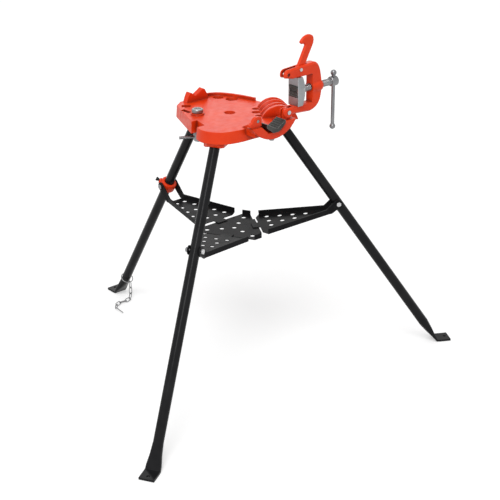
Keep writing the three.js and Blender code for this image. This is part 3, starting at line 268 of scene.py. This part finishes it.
def edge_mask(tree):
    """Near 1 along convex and concave edges, 0 on open faces."""
    bevel = tree.nodes.new("ShaderNodeBevel")
    bevel.inputs["Radius"].default_value = RUB_RADIUS
    geometry = tree.nodes.new("ShaderNodeNewGeometry")
    dot = tree.nodes.new("ShaderNodeVectorMath")
    dot.operation = "DOT_PRODUCT"
    link(tree, bevel.outputs["Normal"], dot.inputs[0])
    link(tree, geometry.outputs["Normal"], dot.inputs[1])
    return between(tree, dot.outputs["Value"], 0.0, 1.0, (RUB_FLAT, RUB_SHARP))


def painted_shade_mask(tree):
    """Mask of painted shade: 1 deep in a piece's own holes and inner corners, 0 on open faces."""
    occlusion = tree.nodes.new("ShaderNodeAmbientOcclusion")
    occlusion.samples = SHADER_SAMPLES
    occlusion.only_local = True
    occlusion.inputs["Distance"].default_value = PAINTED_SHADE_REACH
    return between(tree, occlusion.outputs["AO"], 0.0, 1.0, (PAINTED_SHADE_OPEN, PAINTED_SHADE_DEEP))


def surface(
    name,
    colours,
    edge_colour,
    metallic,
    roughness,
    grain,
    bump,
    softness,
    painted_recess_shade=1.0,
    specular=PLAIN_SPECULAR,
    stretch=EVEN,
):
    """A finish of varied colour and gloss, with bumped skin, soft edges and painted shade in
    recesses.
    """
    material = bpy.data.materials.new(name)
    material.use_nodes = True
    tree = material.node_tree
    shader = tree.nodes["Principled BSDF"]
    shader.inputs["Metallic"].default_value = metallic
    shader.inputs["Specular IOR Level"].default_value = specular
    place = tree.nodes.new("ShaderNodeTexCoord").outputs["Object"]

    colour = ramp(tree, noise(tree, place, PATCH_SCALE, PATCH_DETAIL), colours)
    colour = blend(tree, edge_mask(tree), colour, edge_colour)
    # Painted shade: the colour is darkened in the piece's own holes and inner corners, where
    # shade falls.
    if painted_recess_shade < 1:
        painted_shade_colour = [painted_recess_shade * channel for channel in colours[0]]
        colour = blend(tree, painted_shade_mask(tree), colour, painted_shade_colour)
    link(tree, colour, shader.inputs["Base Color"])

    gloss = noise(tree, place, GLOSS_SCALE, GLOSS_DETAIL, stretch)
    link(tree, between(tree, gloss, *roughness, NOISE_RANGE), shader.inputs["Roughness"])

    soft = tree.nodes.new("ShaderNodeBevel")
    soft.samples = SHADER_SAMPLES
    soft.inputs["Radius"].default_value = softness
    skin = tree.nodes.new("ShaderNodeBump")
    skin.inputs["Strength"].default_value = bump
    skin.inputs["Distance"].default_value = GRAIN_DEPTH
    link(tree, noise(tree, place, grain, GRAIN_DETAIL, stretch), skin.inputs["Height"])
    link(tree, soft.outputs["Normal"], skin.inputs["Normal"])
    link(tree, skin.outputs["Normal"], shader.inputs["Normal"])
    return material


FINISHES = {name: surface(name, **look) for name, look in LOOKS.items()}


def paint(obj, finish):
    if not obj.material_slots:
        obj.data.materials.append(FINISHES[finish])
    for material_slot in obj.material_slots:
        material_slot.link = "OBJECT"
        material_slot.material = FINISHES[finish]


# Solids from the frame: welded, edges rounded, shaded smooth

def smooth_by_angle():
    group = bpy.data.node_groups.new("smooth_by_angle", "GeometryNodeTree")
    for direction in ("INPUT", "OUTPUT"):
        group.interface.new_socket(
            "Geometry", in_out=direction, socket_type="NodeSocketGeometry"
        )
    start = group.nodes.new("NodeGroupInput")
    plain = group.nodes.new("GeometryNodeRemoveAttribute")
    plain.inputs["Name"].default_value = "custom_normal"
    faces = group.nodes.new("GeometryNodeSetShadeSmooth")
    edges = group.nodes.new("GeometryNodeSetShadeSmooth")
    edges.domain = "EDGE"
    end = group.nodes.new("NodeGroupOutput")
    angle = group.nodes.new("GeometryNodeInputMeshEdgeAngle")
    gentle = group.nodes.new("FunctionNodeCompare")
    gentle.operation = "LESS_THAN"
    gentle.inputs["B"].default_value = SMOOTH_ANGLE
    link(group, angle.outputs["Unsigned Angle"], gentle.inputs["A"])
    link(group, gentle.outputs["Result"], edges.inputs["Shade Smooth"])
    steps = (start, plain, faces, edges, end)
    for before, after in zip(steps, steps[1:]):
        link(group, before.outputs["Geometry"], after.inputs["Geometry"])
    return group


SMOOTH = smooth_by_angle()


def shade_smooth(obj):
    obj.modifiers.new("smooth", "NODES").node_group = SMOOTH


def weld(obj):
    obj.modifiers.new("weld", "WELD").merge_threshold = WELD_DISTANCE


def round_edges(obj, radius):
    flat = obj.modifiers.new("flat", "DECIMATE")
    flat.decimate_type = "DISSOLVE"
    flat.angle_limit = FLAT_ANGLE
    bevel = obj.modifiers.new("edges", "BEVEL")
    bevel.width = radius
    bevel.segments = EDGE_SEGMENTS
    bevel.limit_method = "ANGLE"
    bevel.angle_limit = SMOOTH_ANGLE


def dress(obj, edge_radius):
    weld(obj)
    if edge_radius:
        round_edges(obj, edge_radius)
    shade_smooth(obj)
    even = obj.modifiers.new("even", "WEIGHTED_NORMAL")
    even.keep_sharp = True


def dress_chain(obj):
    weld(obj)
    wire = obj.modifiers.new("round", "SUBSURF")
    wire.levels = CHAIN_LEVELS
    wire.render_levels = CHAIN_LEVELS
    shade_smooth(obj)


slots = {part["node"]: part["material_slot"] for part in frame["record"]["subparts"]}
for node, obj in frame["nodes"].items():
    paint(obj, OWN_LOOKS.get(node, slots[node]))
    if node.startswith("chain_"):
        dress_chain(obj)
    else:
        dress(obj, EDGE_RADII[slots[node]])


def add_object(name, data):
    obj = bpy.data.objects.new(name, data)
    bpy.context.collection.objects.link(obj)
    return obj


def add_mesh(name, vertices, faces):
    mesh = bpy.data.meshes.new(name)
    mesh.from_pydata(vertices, [], faces)
    return add_object(name, mesh)


# Threaded pieces

def turned_piece(name, rings, place):
    """A closed round bar. A ring is (distance along it, radius or a function of the angle)."""
    vertices = []
    for along, radius in rings:
        for k in range(TURNED_SIDES):
            angle = 2 * math.pi * k / TURNED_SIDES
            size = radius(angle) if callable(radius) else radius
            point = Vector((size * math.cos(angle), size * math.sin(angle), along))
            vertices.append(place @ point)
    faces = []
    for i in range(len(rings) - 1):
        low, high = i * TURNED_SIDES, (i + 1) * TURNED_SIDES
        for k in range(TURNED_SIDES):
            nxt = (k + 1) % TURNED_SIDES
            faces.append((low + k, low + nxt, high + nxt, high + k))
    faces.append(tuple(reversed(range(TURNED_SIDES))))
    faces.append(tuple(range(len(vertices) - TURNED_SIDES, len(vertices))))
    obj = add_mesh(name, vertices, faces)
    shade_smooth(obj)
    return obj


def thread(start, end, screw):
    """Rings of a right-hand thread with flat crests and roots, fading in at both ends."""
    pitch = screw["pitch"]
    rings = []
    count = int((end - start) / pitch * THREAD_STEPS)
    for i in range(count + 1):
        along = start + (end - start) * i / count
        fade = min(1.0, (along - start) / pitch, (end - along) / pitch)

        def size(angle, along=along, fade=fade):
            share = (along / pitch - angle / (2 * math.pi)) % 1.0
            groove = (abs(2 * share - 1) - THREAD_CREST) / THREAD_FLANK
            return screw["radius"] - screw["depth"] * fade * min(1.0, max(0.0, groove))

        rings.append((along, size))
    return rings


def vise_screw():
    low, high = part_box("vise_screw")
    length = high.x - low.x
    hub = length - VISE_HUB["length"]
    tip = VISE_SCREW["tip"]
    tip_end = VISE_SCREW["tip_length"]
    rings = [
        (0.0, tip - VISE_SCREW["tip_chamfer"]),
        (VISE_SCREW["tip_chamfer"], tip),
        (tip_end, tip),
        *thread(tip_end + THREAD_GAP, hub - VISE_SCREW["runout"], VISE_SCREW),
        (hub, VISE_SCREW["radius"]),
        *((hub + far, VISE_HUB["radius"] - step) for far, step in VISE_HUB["inner_end"]),
        *((length - far, VISE_HUB["radius"] - step) for far, step in VISE_HUB["outer_end"]),
    ]
    middle = (low + high) / 2
    along_x = Matrix((
        (0, 0, 1, low.x),
        (1, 0, 0, middle.y),
        (0, 1, 0, middle.z),
        (0, 0, 0, 1),
    ))
    return turned_piece("vise_screw_threaded", rings, along_x)


def brace_screw():
    low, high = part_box("brace_screw")
    length = high.z - low.z
    hub = BRACE_HUB["length"]
    top = length - BRACE_SCREW["spigot_length"]
    rings = [
        *((far, BRACE_HUB["radius"] - step) for far, step in BRACE_HUB["lower_end"]),
        *((hub - far, BRACE_HUB["radius"] - step) for far, step in BRACE_HUB["upper_end"]),
        (hub, BRACE_SCREW["radius"]),
        *thread(hub + THREAD_GAP, top, BRACE_SCREW),
        (top, BRACE_SCREW["spigot"]),
        (length, BRACE_SCREW["spigot"]),
    ]
    middle = (low + high) / 2
    along_z = Matrix.Translation((middle.x, middle.y, low.z))
    return turned_piece("brace_screw_threaded", rings, along_z)


for make, node, body in (
    (vise_screw, "vise_screw", "screw_body"),
    (brace_screw, "brace_screw", "brace_screw_body"),
):
    piece = make()
    paint(piece, "zinc")
    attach(piece, body)
    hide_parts(node)


# Lips under the tray's fold lines, where the arms meet the centre plate

def tray_lip(side, heading, reach):
    low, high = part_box("tray_centre")
    axis = Vector(((low.x + high.x) / 2, low.y + TRAY_CORNER_REACH, low.z - LIP_DROP))
    place = Matrix.Translation(axis) @ Matrix.Rotation(math.radians(heading), 4, "Z")
    corners = (
        (LIP_FROM, -LIP_HALF),
        (reach, -LIP_HALF),
        (reach, LIP_HALF),
        (LIP_FROM, LIP_HALF),
    )
    vertices = [
        place @ Vector((along, across, up))
        for up in (0, TRAY_SHEET)
        for along, across in corners
    ]
    faces = [
        (3, 2, 1, 0),
        (4, 5, 6, 7),
        (0, 1, 5, 4),
        (1, 2, 6, 5),
        (2, 3, 7, 6),
        (3, 0, 4, 7),
    ]
    return add_mesh(f"tray_lip_{side}", vertices, faces)


for side, (heading, reach) in LIPS.items():
    lip = tray_lip(side, heading, reach)
    paint(lip, "black_sheet")
    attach(lip, "tray_centre_body")


# Floor, light and camera

def seen_by_eye(tree):
    """1 for what the camera sees, directly or in a gloss, and 0 for light on the object."""
    rays = tree.nodes.new("ShaderNodeLightPath")
    seen = rays.outputs["Is Camera Ray"]
    for kind in ("Is Glossy Ray", "Is Transmission Ray"):
        either = tree.nodes.new("ShaderNodeMath")
        either.operation = "MAXIMUM"
        link(tree, seen, either.inputs[0])
        link(tree, rays.outputs[kind], either.inputs[1])
        seen = either.outputs["Value"]
    return seen


def floor_material():
    material = bpy.data.materials.new("floor")
    material.use_nodes = True
    tree = material.node_tree
    shader = tree.nodes["Principled BSDF"]
    shader.inputs["Base Color"].default_value = (*FLOOR_COLOUR, 1)
    shader.inputs["Roughness"].default_value = FLOOR_ROUGHNESS
    shader.inputs["Emission Color"].default_value = (*WHITE, 1)
    glow = between(tree, seen_by_eye(tree), 0.0, FLOOR_GLOW)
    link(tree, glow, shader.inputs["Emission Strength"])
    return material


half = FLOOR_SIZE / 2
floor_corners = [(-half, -half, 0), (half, -half, 0), (half, half, 0), (-half, half, 0)]
floor = add_mesh("floor", floor_corners, [(0, 1, 2, 3)])
floor.data.materials.append(floor_material())


def area_light(name, place, aim, size, power):
    data = bpy.data.lights.new(name, "AREA")
    data.size = size
    data.energy = power
    light = add_object(name, data)
    light.location = place
    toward = Vector(aim) - Vector(place)
    light.rotation_euler = toward.to_track_quat("-Z", "Y").to_euler()


for name, lamp in AREA_LIGHTS.items():
    area_light(name, **lamp)

sun_data = bpy.data.lights.new("sun", "SUN")
sun_data.energy = SUN_STRENGTH
sun_data.angle = SUN_SPREAD
sun = add_object("sun", sun_data)
sun.rotation_euler = Vector(SUN_DIRECTION).to_track_quat("-Z", "Y").to_euler()

world = bpy.data.worlds.new("studio")
world.use_nodes = True
bpy.context.scene.world = world
tree = world.node_tree
background = tree.nodes["Background"]
background.inputs["Color"].default_value = (*WHITE, 1)
world_strength = between(tree, seen_by_eye(tree), WORLD_LIGHT, 1.0)
link(tree, world_strength, background.inputs["Strength"])

camera_data = bpy.data.cameras.new("camera")
camera_data.lens = LENS_MM
camera_data.sensor_width = SENSOR_MM
camera_data.shift_x, camera_data.shift_y = SHIFT
camera = add_object("camera", camera_data)
level_right = LOOK.cross(Vector((0, 0, 1))).normalized()
level_up = level_right.cross(LOOK)
right = (level_right - CAMERA_ROLL * level_up).normalized()
turn = Matrix((right, right.cross(LOOK), -LOOK)).transposed()
camera.matrix_world = Matrix.Translation(AIM - CAMERA_DISTANCE * LOOK) @ turn.to_4x4()
bpy.context.scene.camera = camera
bpy.context.scene.view_settings.view_transform = "Standard"
